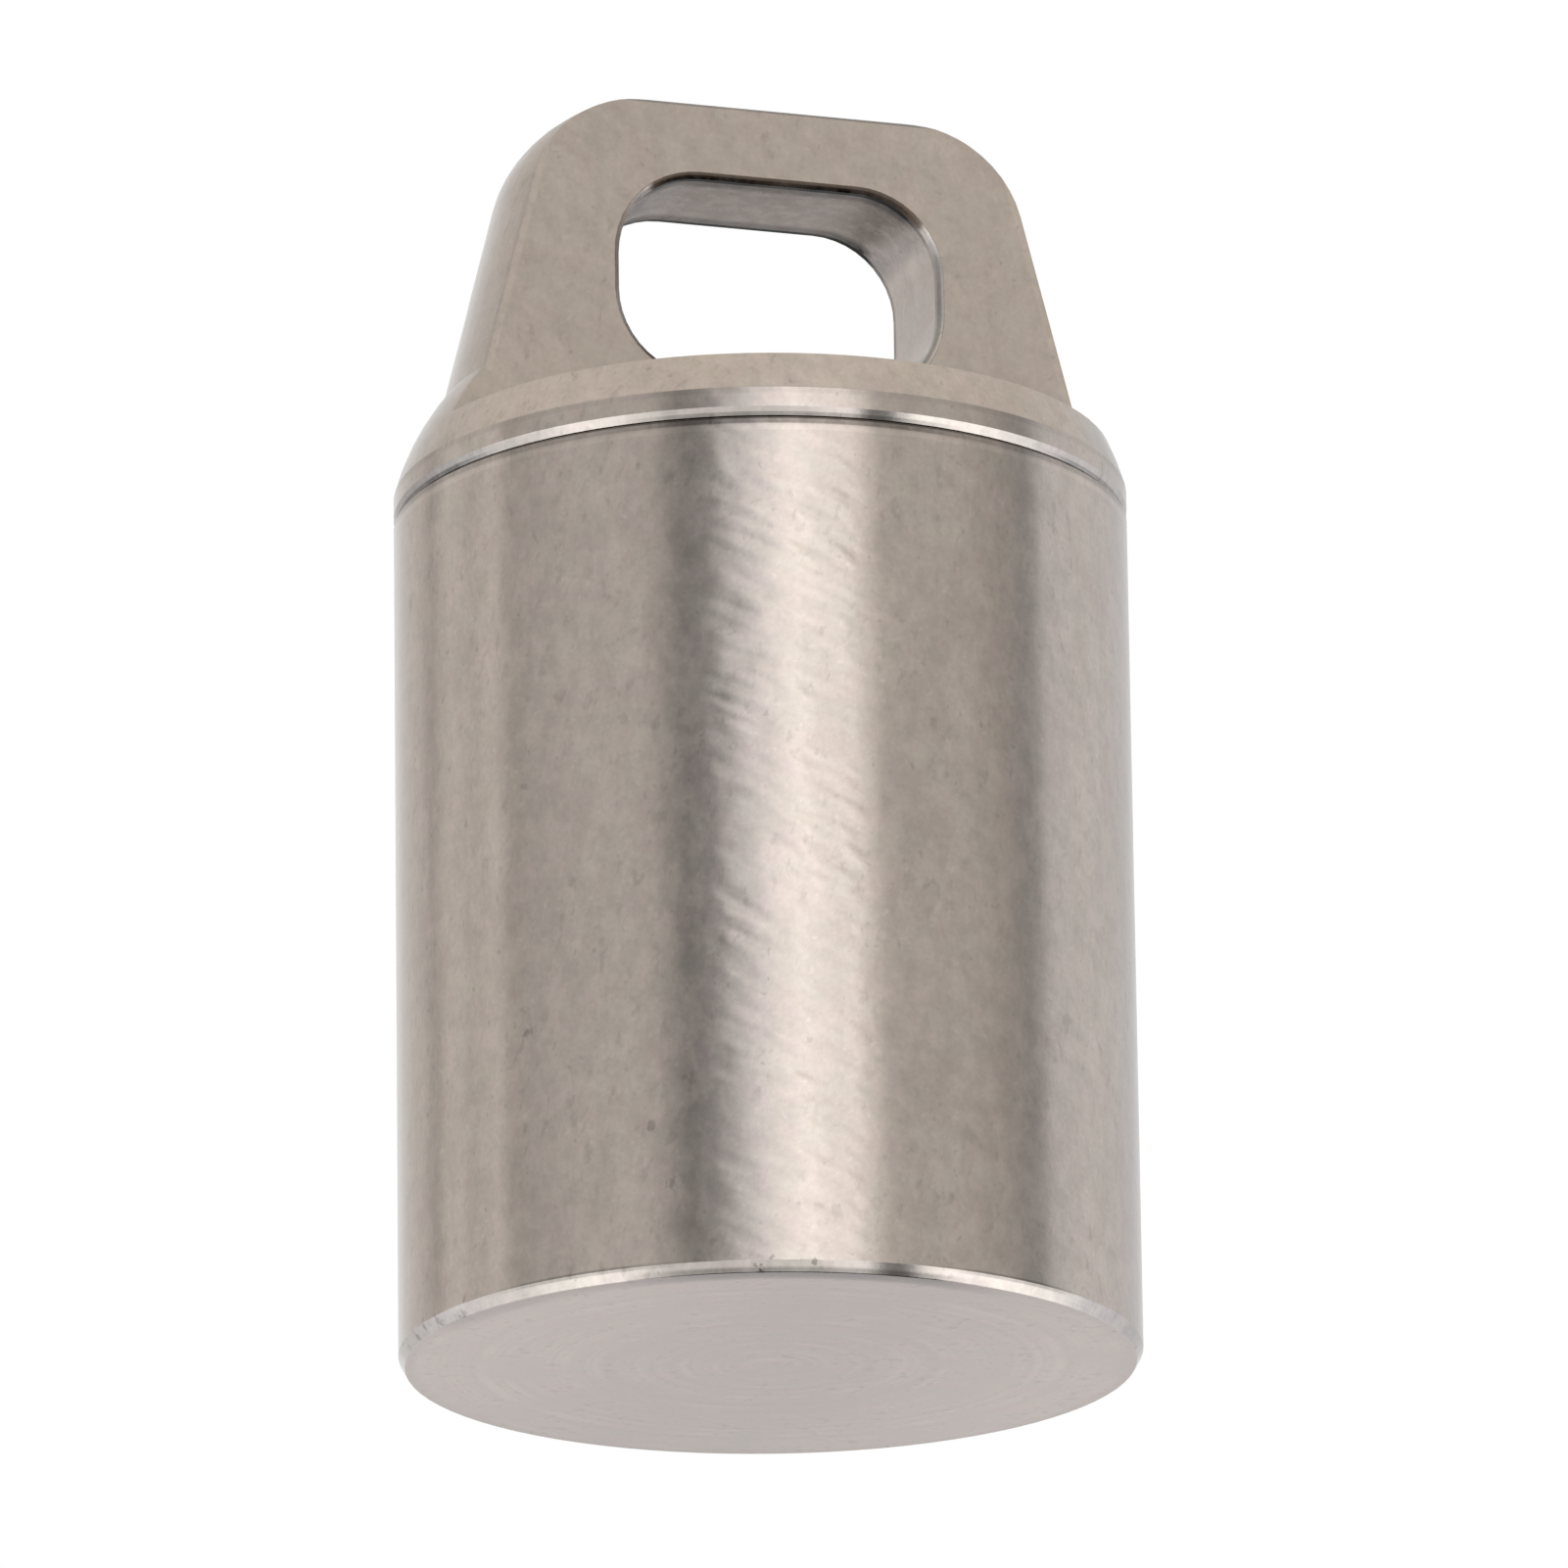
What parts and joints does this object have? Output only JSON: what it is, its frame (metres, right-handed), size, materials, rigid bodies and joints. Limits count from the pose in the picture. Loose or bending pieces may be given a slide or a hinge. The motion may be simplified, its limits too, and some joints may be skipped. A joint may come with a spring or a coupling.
{
  "type": "keychain capsule",
  "caption": "Small turned metal capsule: a flat-bottomed cup with a screw cap, a rubber seal and a flat slotted eye for a key ring.",
  "frame": {"origin": "centre of the flat base", "axes": "+Z along the capsule's axis, from the base up through the cap; the slot through the eye is open along Y, and the eye's width runs along X"},
  "size_m": [0.015, 0.015, 0.0262],
  "materials": {
    "metal": "satin",
    "seal": "matte"
  },
  "bodies": {
    "capsule_body": {"capsule_body": "metal"},
    "seal": {"o_ring": "seal"},
    "cap": {"cap": "metal"}
  },
  "joints": [
    {"name": "cap_lift", "type": "slide", "parent": "capsule_body", "child": "seal", "axis": [0, 0, 1], "range_m": [0, 0.006]},
    {"name": "cap_turn", "type": "hinge", "parent": "seal", "child": "cap", "pos_m": [0, 0, 0.01769], "axis": [0, 0, 1], "range_deg": [0, 2880]}
  ],
  "couplings": [
    {"joint": "cap_lift", "follows": "cap_turn", "m_per_rad": 0.00011937}
  ]
}
